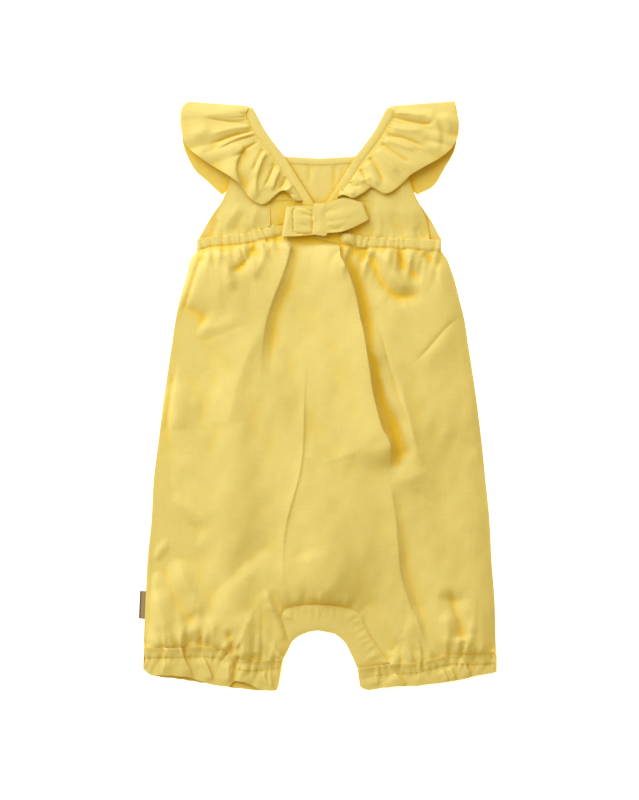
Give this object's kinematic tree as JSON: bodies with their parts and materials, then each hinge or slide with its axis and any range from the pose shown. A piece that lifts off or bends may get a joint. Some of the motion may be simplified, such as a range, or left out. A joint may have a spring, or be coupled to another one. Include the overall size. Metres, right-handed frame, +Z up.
{
  "type": "baby romper",
  "caption": "Sleeveless baby romper laid flat, with gathered body and legs, a V neck, a ruffle over each shoulder and a bow on the front.",
  "frame": {"origin": "middle of the garment's box, on the surface that it lies on", "axes": "+Y from the legs towards the neck, +Z up, out of the garment's front"},
  "size_m": [0.278, 0.4593, 0.0114],
  "materials": {
    "cloth": "matt plain-woven linen and cotton, light yellow",
    "label": "matt woven tape, tan"
  },
  "bodies": {
    "root": {"body_front": "cloth", "body_back": "cloth", "crotch_gusset_front": "cloth", "crotch_gusset_back": "cloth", "leg_hem_front_left": "cloth", "leg_hem_front_right": "cloth", "leg_hem_back_left": "cloth", "leg_hem_back_right": "cloth", "waist_casing_left": "cloth", "waist_casing_right": "cloth", "waist_casing_back": "cloth", "bodice_front_left": "cloth", "bodice_front_right": "cloth", "bodice_inset": "cloth", "bodice_back": "cloth", "neck_binding_left": "cloth", "neck_binding_right": "cloth", "neck_binding_back": "cloth", "ruffle_left": "cloth", "ruffle_right": "cloth", "bow_loop_left": "cloth", "bow_loop_right": "cloth", "bow_knot": "cloth", "side_label": "label"}
  },
  "joints": []
}
